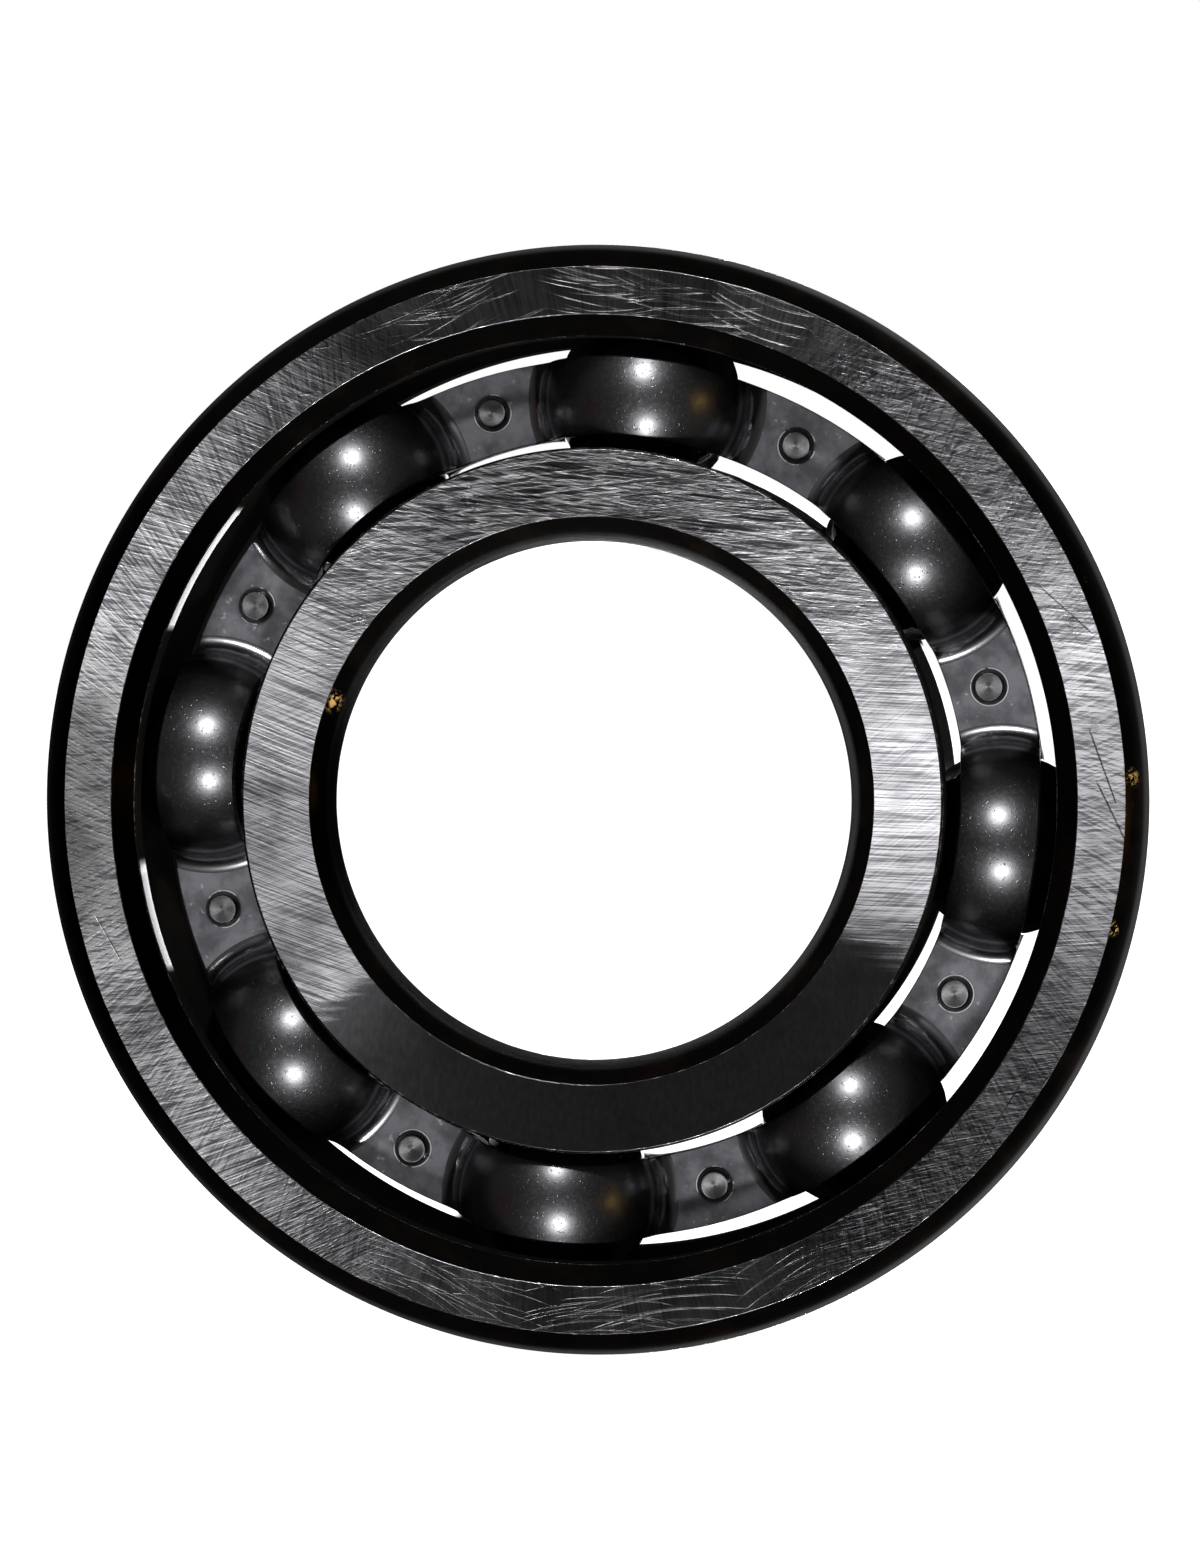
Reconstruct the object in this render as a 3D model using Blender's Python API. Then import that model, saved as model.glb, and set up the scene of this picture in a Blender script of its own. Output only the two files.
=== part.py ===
"""Open single-row deep-groove ball bearing with a riveted two-piece pressed-steel cage.

Metres, +Z up. The bearing's axis is Y and its centre is the origin. The front faces point to -Y.
Angles are measured in the XZ plane from +X towards +Z.
"""

import math

import bmesh
import bpy
from mathutils import Vector

# Boundary dimensions of the bearing.
BORE_DIAMETER = 0.070
OUTSIDE_DIAMETER = 0.150
WIDTH = 0.035
OUTSIDE_CORNER = 0.0031
BORE_CORNER = 0.0033
CORNER_BULGE = math.radians(12.0)

# Balls and their pitch circle.
BALL_COUNT = 8
BALL_RADIUS = 0.0127
PITCH_RADIUS = 0.055
FIRST_BALL_ANGLE = math.radians(38.7)
BALL_PITCH_ANGLE = math.tau / BALL_COUNT
QUARTER_TURN = math.pi / 2.0

# Raceways: each groove's radius is 52 % of the ball's diameter.
GROOVE_RADIUS = 0.52 * 2.0 * BALL_RADIUS
RACEWAY_CLEARANCE = 0.0002
OUTER_LAND_RADIUS = 0.06265
INNER_LAND_RADIUS = 0.0476
OUTER_FACE_EDGE_RADIUS = 0.0655
OUTER_CHAMFER_DEPTH = 0.0020
INNER_EDGE_BREAK = 0.0003

# Cage: two mirrored pressings of one sheet, riveted together between the pockets.
SHEET_THICKNESS = 0.0015
CAGE_INNER_RADIUS = 0.0495
CAGE_OUTER_RADIUS = 0.0602
POCKET_RADIUS = BALL_RADIUS + 0.00035
POCKET_BEND_RADIUS = 0.0023
ASSEMBLY_GAP = 0.0003

# Rivets: a straight shank with a truncated cone for each head.
RIVET_SHANK_RADIUS = 0.00165
RIVET_HEAD_BASE_RADIUS = 0.00255
RIVET_HEAD_TOP_RADIUS = 0.00183
RIVET_HEAD_RIM = 0.0003
RIVET_HEAD_HEIGHT = 0.0011

# Fineness of the meshes.
RING_SEGMENTS = 96
CORNER_SEGMENTS = 4
GROOVE_SEGMENTS = 9
BALL_SEGMENTS = 24
BALL_RINGS = 12
RIVET_SEGMENTS = 16
POCKET_STEPS = 6
BEND_STEPS = 4
WEB_STEPS = 3
STRIP_STEPS = 4
SHARP_ANGLE = math.radians(30.0)
MERGE_DISTANCE = 1e-6


def clear_scene():
    for thing in list(bpy.data.objects):
        bpy.data.objects.remove(thing)


def make_steel(name, color, roughness):
    material = bpy.data.materials.new(name)
    material.use_nodes = True
    shader = material.node_tree.nodes["Principled BSDF"]
    shader.inputs["Base Color"].default_value = (*color, 1.0)
    shader.inputs["Roughness"].default_value = roughness
    shader.inputs["Metallic"].default_value = 1.0
    return material


def mesh_from(shape, name):
    """Turns a bmesh into a named, smooth-shaded mesh whose faces point out."""
    bmesh.ops.remove_doubles(shape, verts=shape.verts, dist=MERGE_DISTANCE)
    bmesh.ops.recalc_face_normals(shape, faces=shape.faces)
    mesh = bpy.data.meshes.new(name)
    shape.to_mesh(mesh)
    shape.free()
    mesh.shade_smooth()
    mesh.set_sharp_from_angle(angle=SHARP_ANGLE)
    return mesh


def place(name, mesh, material, location=(0.0, 0.0, 0.0), parent=None):
    if material.name not in mesh.materials:
        mesh.materials.append(material)
    thing = bpy.data.objects.new(name, mesh)
    thing.location = location
    thing.parent = parent
    bpy.context.scene.collection.objects.link(thing)
    return thing


def on_circle(radius, angle, y=0.0):
    return (radius * math.cos(angle), y, radius * math.sin(angle))


def arc(center, radius, start, end, steps):
    """Points of an arc in the (distance from the axis, y) plane, from one angle to the other."""
    angles = (start + (end - start) * step / steps for step in range(steps + 1))
    return [(center[0] + radius * math.cos(a), center[1] + radius * math.sin(a)) for a in angles]


def bulged_chamfer(start, end):
    """Arc from start to end that leaves the straight line between them by the bulge angle at each end."""
    chord = Vector(end) - Vector(start)
    radius = chord.length / (2.0 * math.sin(CORNER_BULGE))
    outward = math.atan2(-chord.x, chord.y)
    middle = (Vector(start) + Vector(end)) / 2.0
    center = middle - Vector((math.cos(outward), math.sin(outward))) * radius * math.cos(CORNER_BULGE)
    return arc(center, radius, outward - CORNER_BULGE, outward + CORNER_BULGE, CORNER_SEGMENTS)


def turned_mesh(name, outline, segments, closed):
    """Solid of revolution about Y. An open outline has to start and end on the axis."""
    shape = bmesh.new()
    points = [shape.verts.new((radius, y, 0.0)) for radius, y in outline]
    edges = [shape.edges.new(pair) for pair in zip(points, points[1:])]
    if closed:
        edges.append(shape.edges.new((points[-1], points[0])))
    bmesh.ops.spin(
        shape, geom=points + edges, cent=(0.0, 0.0, 0.0), axis=(0.0, 1.0, 0.0),
        angle=math.tau, steps=segments, use_merge=True,
    )
    return mesh_from(shape, name)


def outer_ring_outline():
    """Bulged outside chamfers, a raceway groove in the bore, and a chamfer down to each land."""
    half = WIDTH / 2.0
    outside = OUTSIDE_DIAMETER / 2.0
    corner = outside - OUTSIDE_CORNER
    corner_y = half - OUTSIDE_CORNER
    groove_center = PITCH_RADIUS + BALL_RADIUS + RACEWAY_CLEARANCE - GROOVE_RADIUS
    spread = math.acos((OUTER_LAND_RADIUS - groove_center) / GROOVE_RADIUS)
    return [
        *reversed(bulged_chamfer((outside, corner_y), (corner, half))),
        *reversed(bulged_chamfer((corner, -half), (outside, -corner_y))),
        (OUTER_FACE_EDGE_RADIUS, -half),
        (OUTER_LAND_RADIUS, OUTER_CHAMFER_DEPTH - half),
        *arc((groove_center, 0.0), GROOVE_RADIUS, -spread, spread, GROOVE_SEGMENTS),
        (OUTER_LAND_RADIUS, half - OUTER_CHAMFER_DEPTH),
        (OUTER_FACE_EDGE_RADIUS, half),
    ]


def inner_ring_outline():
    """Bulged bore chamfers, a raceway groove outside, and lands with broken edges."""
    half = WIDTH / 2.0
    bore = BORE_DIAMETER / 2.0
    corner = bore + BORE_CORNER
    corner_y = half - BORE_CORNER
    groove_center = PITCH_RADIUS - BALL_RADIUS - RACEWAY_CLEARANCE + GROOVE_RADIUS
    spread = math.acos((groove_center - INNER_LAND_RADIUS) / GROOVE_RADIUS)
    half_turn = math.pi
    return [
        *reversed(bulged_chamfer((bore, -corner_y), (corner, -half))),
        *reversed(bulged_chamfer((corner, half), (bore, corner_y))),
        (INNER_LAND_RADIUS - INNER_EDGE_BREAK, half),
        (INNER_LAND_RADIUS, half - INNER_EDGE_BREAK),
        *arc((groove_center, 0.0), GROOVE_RADIUS, half_turn - spread, half_turn + spread, GROOVE_SEGMENTS),
        (INNER_LAND_RADIUS, INNER_EDGE_BREAK - half),
        (INNER_LAND_RADIUS - INNER_EDGE_BREAK, -half),
    ]


def angle_at(radius, distance):
    """Angle from a ball's middle of the point that far from the axis and that far from the middle."""
    return math.acos((radius**2 + PITCH_RADIUS**2 - distance**2) / (2.0 * radius * PITCH_RADIUS))


def bend_section(pocket_radius, web_height, bend_radius):
    """Bend from a pocket's sphere to the flat web, as (distance from the ball's middle, height)."""
    center_height = web_height + bend_radius
    center_distance = math.sqrt((pocket_radius + bend_radius) ** 2 - center_height**2)
    start = math.atan2(center_distance, center_height)
    turns = (start * (1.0 - step / BEND_STEPS) for step in range(BEND_STEPS + 1))
    return [
        (center_distance - bend_radius * math.sin(turn), center_height - bend_radius * math.cos(turn))
        for turn in turns
    ]


def sheet_section(radius, pocket_radius, web_height, bend_radius):
    """One pitch of a cage surface at a distance from the axis, as (angle from the ball, height).

    The surface is a sphere round the ball, bends out of it, and is flat between the pockets.
    """
    bend = [
        (angle_at(radius, distance), height)
        for distance, height in bend_section(pocket_radius, web_height, bend_radius)
    ]
    dome_edge = bend[0][0]
    dome = []
    for step in range(1 - POCKET_STEPS, POCKET_STEPS):
        angle = dome_edge * math.sin(QUARTER_TURN * step / POCKET_STEPS)
        square = radius**2 + PITCH_RADIUS**2 - 2.0 * radius * PITCH_RADIUS * math.cos(angle)
        dome.append((angle, math.sqrt(pocket_radius**2 - square)))
    web_edge = bend[-1][0]
    web_span = BALL_PITCH_ANGLE - 2.0 * web_edge
    web = [(web_edge + web_span * step / WEB_STEPS, web_height) for step in range(1, WEB_STEPS)]
    return [(-angle, height) for angle, height in reversed(bend)] + dome + bend + web


def sheet_rows(shape, side, offset):
    """Rings of vertices of one cage surface: offset is its distance from the sheet's inside."""
    rows = []
    for step in range(STRIP_STEPS + 1):
        radius = CAGE_INNER_RADIUS + (CAGE_OUTER_RADIUS - CAGE_INNER_RADIUS) * step / STRIP_STEPS
        section = sheet_section(
            radius,
            POCKET_RADIUS + offset,
            ASSEMBLY_GAP / 2.0 + offset,
            POCKET_BEND_RADIUS + SHEET_THICKNESS - offset,
        )
        row = []
        for pocket in range(BALL_COUNT):
            middle = FIRST_BALL_ANGLE + pocket * BALL_PITCH_ANGLE
            row += [
                shape.verts.new(on_circle(radius, middle + angle, side * height))
                for angle, height in section
            ]
        rows.append(row)
    return rows


def bridge(shape, row_a, row_b):
    for index, vertex in enumerate(row_a):
        shape.faces.new((vertex, row_a[index - 1], row_b[index - 1], row_b[index]))


def cage_mesh(name, side):
    """Blank of one cage half: side is -1 for the front pressing and +1 for the rear one."""
    shape = bmesh.new()
    inside = sheet_rows(shape, side, 0.0)
    outside = sheet_rows(shape, side, SHEET_THICKNESS)
    for rows in (inside, outside):
        for row_a, row_b in zip(rows, rows[1:]):
            bridge(shape, row_a, row_b)
    bridge(shape, inside[0], outside[0])
    bridge(shape, inside[-1], outside[-1])
    return mesh_from(shape, name)


def rivet_angle(index):
    return FIRST_BALL_ANGLE + (index - 0.5) * BALL_PITCH_ANGLE


def rivet_mesh():
    """Shank along Y with a head beyond each face of the riveted sheets."""
    seat = ASSEMBLY_GAP / 2.0 + SHEET_THICKNESS + ASSEMBLY_GAP
    top = seat + RIVET_HEAD_HEIGHT
    half_outline = [
        (RIVET_SHANK_RADIUS, seat),
        (RIVET_HEAD_BASE_RADIUS, seat),
        (RIVET_HEAD_BASE_RADIUS, seat + RIVET_HEAD_RIM),
        (RIVET_HEAD_TOP_RADIUS, top),
        (0.0, top),
    ]
    mirrored = [(radius, -y) for radius, y in reversed(half_outline)]
    return turned_mesh("rivet", mirrored + half_outline, RIVET_SEGMENTS, closed=False)


def rivet_hole_cutter():
    """Pins through both webs, one at each rivet, that cut the rivet holes."""
    shape = bmesh.new()
    radius = RIVET_SHANK_RADIUS + ASSEMBLY_GAP
    depth = 4.0 * SHEET_THICKNESS
    for index in range(BALL_COUNT):
        made = bmesh.ops.create_cone(
            shape, cap_ends=True, segments=RIVET_SEGMENTS, radius1=radius, radius2=radius, depth=depth,
        )
        pin = made["verts"]
        for vertex in pin:
            vertex.co = (vertex.co.x, vertex.co.z, -vertex.co.y)
        bmesh.ops.translate(shape, verts=pin, vec=on_circle(PITCH_RADIUS, rivet_angle(index)))
    mesh = mesh_from(shape, "rivet_holes")
    cutter = bpy.data.objects.new("rivet_holes", mesh)
    cutter.hide_render = True
    cutter.display_type = "WIRE"
    bpy.context.scene.collection.objects.link(cutter)
    return cutter


def ball_mesh():
    shape = bmesh.new()
    bmesh.ops.create_uvsphere(shape, u_segments=BALL_SEGMENTS, v_segments=BALL_RINGS, radius=BALL_RADIUS)
    for vertex in shape.verts:
        vertex.co = (vertex.co.x, vertex.co.z, -vertex.co.y)
    return mesh_from(shape, "ball")


def build_rings(steel):
    outer = turned_mesh("outer_ring", outer_ring_outline(), RING_SEGMENTS, closed=True)
    inner = turned_mesh("inner_ring", inner_ring_outline(), RING_SEGMENTS, closed=True)
    place("outer_ring", outer, steel)
    place("inner_ring", inner, steel)


def build_cage(axis, sheet_steel, rivet_steel):
    cutter = rivet_hole_cutter()
    for name, side in (("cage_front", -1.0), ("cage_rear", 1.0)):
        half = place(name, cage_mesh(name, side), sheet_steel, parent=axis)
        holes = half.modifiers.new("rivet_holes", "BOOLEAN")
        holes.operation = "DIFFERENCE"
        holes.solver = "EXACT"
        holes.object = cutter
    rivet = rivet_mesh()
    for index in range(BALL_COUNT):
        location = on_circle(PITCH_RADIUS, rivet_angle(index))
        place(f"rivet_{index + 1}", rivet, rivet_steel, location, axis)


def build_balls(axis, steel):
    ball = ball_mesh()
    for index in range(BALL_COUNT):
        location = on_circle(PITCH_RADIUS, FIRST_BALL_ANGLE + index * BALL_PITCH_ANGLE)
        place(f"ball_{index + 1}", ball, steel, location, axis)


def main():
    clear_scene()
    ring_steel = make_steel("ground_ring_steel", (0.46, 0.46, 0.48), 0.32)
    ball_steel = make_steel("polished_ball_steel", (0.38, 0.38, 0.40), 0.08)
    sheet_steel = make_steel("pressed_cage_steel", (0.24, 0.24, 0.26), 0.36)
    rivet_steel = make_steel("rivet_steel", (0.30, 0.30, 0.31), 0.34)

    cage_axis = bpy.data.objects.new("cage_axis", None)
    bpy.context.scene.collection.objects.link(cage_axis)

    build_rings(ring_steel)
    build_cage(cage_axis, sheet_steel, rivet_steel)
    build_balls(cage_axis, ball_steel)


main()
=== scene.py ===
"""Looks of an open single-row deep-groove ball bearing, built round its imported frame.

Metres, +Z up. The bearing's axis is Y, its centre is the origin, and the camera sees the faces towards -Y.
Angles are measured in the XZ plane from +X towards +Z. Azimuths start at -Y and turn towards +X.
"""

import math

import bmesh
import bpy
from mathutils import Matrix, Vector


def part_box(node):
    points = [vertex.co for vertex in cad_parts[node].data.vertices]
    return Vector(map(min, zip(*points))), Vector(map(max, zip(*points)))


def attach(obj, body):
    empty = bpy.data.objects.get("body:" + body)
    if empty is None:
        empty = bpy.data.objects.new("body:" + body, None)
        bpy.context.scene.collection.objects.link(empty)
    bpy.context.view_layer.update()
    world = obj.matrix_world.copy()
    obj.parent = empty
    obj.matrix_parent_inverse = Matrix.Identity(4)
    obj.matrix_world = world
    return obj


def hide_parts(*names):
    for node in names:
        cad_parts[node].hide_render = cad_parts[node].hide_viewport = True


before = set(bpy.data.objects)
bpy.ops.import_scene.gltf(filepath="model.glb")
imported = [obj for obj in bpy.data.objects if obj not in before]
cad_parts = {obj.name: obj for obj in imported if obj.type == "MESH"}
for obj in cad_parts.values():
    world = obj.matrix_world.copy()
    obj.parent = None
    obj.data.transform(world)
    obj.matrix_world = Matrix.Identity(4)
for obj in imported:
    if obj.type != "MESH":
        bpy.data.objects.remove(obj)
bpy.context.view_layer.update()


def distances_from_axis(node):
    return [math.hypot(vertex.co.x, vertex.co.z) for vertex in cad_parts[node].data.vertices]


def middle_of(node):
    low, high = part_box(node)
    return (low + high) / 2.0


# Sizes read from the frame.
OUTSIDE_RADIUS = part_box("outer_ring")[1].x
HALF_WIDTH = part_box("outer_ring")[1].y
OUTER_LAND_RADIUS = min(distances_from_axis("outer_ring"))
INNER_LAND_RADIUS = max(distances_from_axis("inner_ring"))
BORE_RADIUS = min(distances_from_axis("inner_ring"))
CAGE_INNER_RADIUS = min(distances_from_axis("cage_front"))
CAGE_OUTER_RADIUS = max(distances_from_axis("cage_front"))
BALL_NODES = [name for name in sorted(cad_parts) if name.startswith("ball_")]
RIVET_NODES = [name for name in sorted(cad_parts) if name.startswith("rivet_")]
BALL_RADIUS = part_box("ball_1")[1].y
PITCH_RADIUS = math.hypot(middle_of("ball_1").x, middle_of("ball_1").z)
FIRST_BALL_ANGLE = math.atan2(middle_of("ball_1").z, middle_of("ball_1").x)
BALL_PITCH_ANGLE = math.tau / len(BALL_NODES)
RIVET_HALF_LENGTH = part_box("rivet_1")[1].y

# Ring shapes: each raceway groove is 52 % of the ball's diameter in radius.
OUTSIDE_CORNER = 0.0031
BORE_CORNER = 0.0033
CORNER_BULGE = math.radians(12.0)
CORNER_STEPS = 6
OUTER_FACE_EDGE_RADIUS = 0.0655
OUTER_CHAMFER_DEPTH = 0.0020
INNER_EDGE_BREAK = 0.0003
GROOVE_RADIUS = 0.52 * 2.0 * BALL_RADIUS
RACEWAY_CLEARANCE = 0.0002
EDGE_ROUNDING = 0.00022
FINE_ROUNDING = 0.00012

# Cage sheet: its halves all but touch between the pockets.
SHEET_THICKNESS = 0.0015
POCKET_RADIUS = BALL_RADIUS + 0.00035
POCKET_BEND_RADIUS = 0.0023
SHEET_GAP = 0.00006
SHEET_EDGE_ROUNDING = 0.0002

# Rivet heads stand on the webs.
RIVET_SHANK_RADIUS = 0.00165
RIVET_HOLE_RADIUS = 0.00180
RIVET_BASE_RADIUS = 0.00242
RIVET_TOP_RADIUS = 0.00183
RIVET_HEAD_HEIGHT = 0.0011
RIVET_RIM_HEIGHT = 0.00030
RIVET_DISH_DEPTH = 0.00010
RIVET_DISH_RADIUS = 0.00160

# Fineness of the meshes.
RING_SEGMENTS = 360
RIVET_SEGMENTS = 64
BALL_SEGMENTS = 64
GROOVE_STEPS = 28
DEGREES_PER_STEP = 9.0
POCKET_STEPS = 18
BEND_STEPS = 10
WEB_STEPS = 6
STRIP_STEPS = 14
SHARP_ANGLE = math.radians(40.0)
MERGE_DISTANCE = 1e-7

# Ground faces: depth of the relief, and the middle of the inner ring's smooth stretch. From here on, angles
# are in degrees.
GRAIN_DEPTH = 0.000040
SMOOTH_MIDDLE = -85.0

# Stray arcs: sectors round the ring, offset in sectors, distance of their middles from the axis, threshold.
STRAY_ARCS = ((15.0, 0.20, 0.104, 0.62), (19.0, 0.82, 0.099, 0.62), (13.0, 0.45, 0.116, 0.61))
STRAY_WIDTH = 0.00045
STRAY_LENGTH = 0.030
SECTOR_SEED = 7.31

# Scratches: angle and distance of the middle, lean, length.
FACE_SCRATCHES = (
    (22.0, 0.0688, -42.0, 0.011),
    (4.0, 0.0690, -70.0, 0.012),
    (-1.0, 0.0700, -64.0, 0.010),
    (-38.0, 0.0695, 58.0, 0.020),
    (158.0, 0.0690, -44.0, 0.009),
    (196.0, 0.0685, -60.0, 0.008),
)
SCRATCH_EDGE = 0.00012
SCRATCH_CORE = 0.00003

# Oil stains on the front corners: angle and distance of the middle, reach.
OUTER_STAINS = (
    (2.6, 0.0735, 0.0020), (-0.4, 0.0733, 0.0010), (-13.5, 0.0725, 0.0014), (24.0, 0.0735, 0.0012),
)
INNER_STAINS = ((159.0, BORE_RADIUS + 0.0020, 0.0022),)
STAIN_COLOR = (0.62, 0.36, 0.11)

# Worn bands of the corners: distances from the axis where the wear starts and is full, and its level.
OUTER_WORN = (OUTSIDE_RADIUS - 0.0010, OUTSIDE_RADIUS - 0.0004, 0.34)
INNER_WORN = (BORE_RADIUS + 0.0015, BORE_RADIUS + 0.0010, 0.26)

# Painted light and shade: angle, gain of the colour there, reach to each side.
OUTER_CORNER_PAINTED_LIGHT = ((90.0, 1.3, 60.0), (180.0, 0.05, 56.0), (10.0, 0.5, 60.0))
INNER_CORNER_PAINTED_LIGHT = ((90.0, 2.2, 70.0), (182.0, 0.12, 30.0))
INNER_FACE_PAINTED_LIGHT = ((92.0, 0.60, 45.0), (0.0, 1.1, 25.0), (180.0, 1.25, 25.0))
OUTER_FACE_PAINTED_LIGHT = (
    (283.0, 0.42, 75.0), (352.0, 0.43, 30.0), (180.0, 2.40, 26.0), (98.0, 0.50, 34.0),
    (222.0, 0.60, 28.0), (40.0, 0.52, 26.0), (320.0, 0.40, 26.0),
)

# Spans wiped bare in the raceways and on the lands: angle, reach to each side, nearest and farthest depth.
OUTER_WIPED_SPANS = (
    (149.5, 9.3, -0.0151, -0.0100), (194.7, 7.6, -0.0151, -0.0100), (239.0, 11.0, 0.0105, 0.0170),
)
INNER_WIPED_SPANS = ((15.0, 12.0, 0.0010, 0.0180), (60.0, 9.0, 0.0010, 0.0180))
WIPED_FADE = 1.6
WIPED_MARGIN = 0.0006
BARE_COLOR = (0.93, 0.93, 0.94)

# Cage: where a bend starts and ends past its pocket's radius; painted shade and a painted glint round a
# rivet.
BEND_START = 0.0006
BEND_END = 0.0013
PAINTED_SHADE_RING = (0.0029, 0.0024)
PAINTED_GLINT_RADIUS = RIVET_BASE_RADIUS + 0.00014
PAINTED_GLINT_EDGES = (0.00010, 0.00004)

# Camera: the front face seen from a little to the right and a little above.
CAMERA_AZIMUTH = 6.6
CAMERA_ELEVATION = 1.1
CAMERA_DISTANCE = 0.890
CAMERA_LENS = 149.6
CAMERA_SENSOR = 36.0
CAMERA_SHIFT = (-0.0032, 0.0119)

# Levels of the studio: the white that the camera sees, the light that matte surfaces get from all round, the
# floor's own glow, and what polished steel reflects from in front, beside and straight behind.
WHITE_LEVEL = 1.0
AMBIENT_LEVEL = 0.35
FLOOR_GLOW = 0.96
FLOOR_REACH = 40.0
FRONT_LEVEL = 0.030
SIDE_LEVEL = 0.30
BACK_LEVEL = 1.9

# Glows seen only in reflections: azimuth, elevation, reach, colour.
GLOWS = ((63.0, -3.0, 3.6, (3.8, 2.2, 0.50)), (-58.0, -4.0, 11.0, (0.042, 0.003, 0.005)))

# Two small lamps near the camera and two larger ones behind the bearing: azimuth, elevation, size, power.
LAMP_DISTANCE = 1.2
LAMPS = {
    "upper_lamp": (0.5, 31.7, (0.09, 0.07), 3.4),
    "lower_lamp": (4.2, -28.3, (0.09, 0.07), 3.4),
    "rear_upper_lamp": (180.0, 32.0, (0.20, 0.16), 5.0),
    "rear_lower_lamp": (180.0, -22.0, (0.20, 0.16), 4.0),
}

# Turn in radians from one rivet or ball to the next, which sets their marks apart.
TURN_STEP = 2.4


# ---------------------------------------- meshes

def on_circle(radius, angle, y=0.0):
    return (radius * math.cos(angle), y, radius * math.sin(angle))


def arc(center, radius, start, end, steps):
    angles = (start + (end - start) * step / steps for step in range(steps + 1))
    return [Vector((center[0] + radius * math.cos(a), center[1] + radius * math.sin(a))) for a in angles]


def rounding(before, corner, after, radius):
    """Arc of that radius in place of a corner between two points."""
    into = (before - corner).normalized()
    out = (after - corner).normalized()
    half = into.angle(out) / 2.0
    middle = corner + (into + out).normalized() * (radius / math.sin(half))
    first = corner + into * (radius / math.tan(half)) - middle
    last = corner + out * (radius / math.tan(half)) - middle
    turn = first.angle_signed(last)
    steps = max(2, round(math.degrees(abs(turn)) / DEGREES_PER_STEP))
    return [middle + Matrix.Rotation(-turn * step / steps, 2) @ first for step in range(steps + 1)]


def bulged_chamfer(start, end, finish, last_finish):
    """Corners along an arc that leaves the line between its ends by the bulge angle. Both ends are broken."""
    chord = Vector(end) - Vector(start)
    radius = chord.length / (2.0 * math.sin(CORNER_BULGE))
    outward = Vector((-chord.y, chord.x)).normalized()
    center = (Vector(start) + Vector(end)) / 2.0 - outward * radius * math.cos(CORNER_BULGE)
    corners = []
    for step in range(CORNER_STEPS + 1):
        turn = CORNER_BULGE * (1.0 - 2.0 * step / CORNER_STEPS)
        point = center + Matrix.Rotation(turn, 2) @ outward * radius
        broken = FINE_ROUNDING if step in (0, CORNER_STEPS) else 0.0
        following = last_finish if step == CORNER_STEPS else finish
        corners.append((point.x, point.y, broken, "edge", following))
    return corners


def outline_from(corners, closed=True):
    """Points of an outline and the finish of the stretch after each.

    A corner is (distance from the axis, y, rounding, finish of its arc, finish of the line after it).
    """
    places = [Vector(corner[:2]) for corner in corners]
    points = []
    finishes = []
    for index, (place, corner) in enumerate(zip(places, corners)):
        _, _, radius, arc_finish, line_finish = corner
        at_end = not closed and index in (0, len(corners) - 1)
        if radius and not at_end:
            arc_points = rounding(places[index - 1], place, places[(index + 1) % len(places)], radius)
        else:
            arc_points = [place]
        points += arc_points
        finishes += [arc_finish] * (len(arc_points) - 1) + [line_finish]
    return points, finishes


def finished_mesh(shape, name, materials):
    """Turns a bmesh into a named, smooth-shaded mesh whose faces point out."""
    bmesh.ops.remove_doubles(shape, verts=shape.verts, dist=MERGE_DISTANCE)
    bmesh.ops.recalc_face_normals(shape, faces=shape.faces)
    mesh = bpy.data.meshes.new(name)
    shape.to_mesh(mesh)
    shape.free()
    for material in materials:
        mesh.materials.append(material)
    mesh.shade_smooth()
    mesh.set_sharp_from_angle(angle=SHARP_ANGLE)
    return mesh


def turned_mesh(name, outline, segments, finish_materials, closed=True):
    """Solid of revolution about Y. An open outline starts and ends on the axis."""
    points, finishes = outline
    names = list(finish_materials)
    shape = bmesh.new()
    columns = []
    for segment in range(segments):
        angle = math.tau * segment / segments
        columns.append([shape.verts.new(on_circle(x, angle, y)) for x, y in points])
    count = len(points) if closed else len(points) - 1
    for segment in range(segments):
        column, following = columns[segment - 1], columns[segment]
        for index in range(count):
            after = (index + 1) % len(points)
            face = shape.faces.new((column[index], column[after], following[after], following[index]))
            face.material_index = names.index(finishes[index])
    return finished_mesh(shape, name, finish_materials.values())


def place(name, mesh, body, slot, nodes, location=(0.0, 0.0, 0.0), turn=0.0):
    """Adds a piece that stands for CAD nodes and rides on their body."""
    piece = bpy.data.objects.new(name, mesh)
    piece.matrix_world = Matrix.Translation(location) @ Matrix.Rotation(turn, 4, "Y")
    bpy.context.scene.collection.objects.link(piece)
    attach(piece, body)
    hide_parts(*nodes)
    normals = piece.modifiers.new("flat_face_normals", "WEIGHTED_NORMAL")
    normals.keep_sharp = True
    return piece


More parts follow.
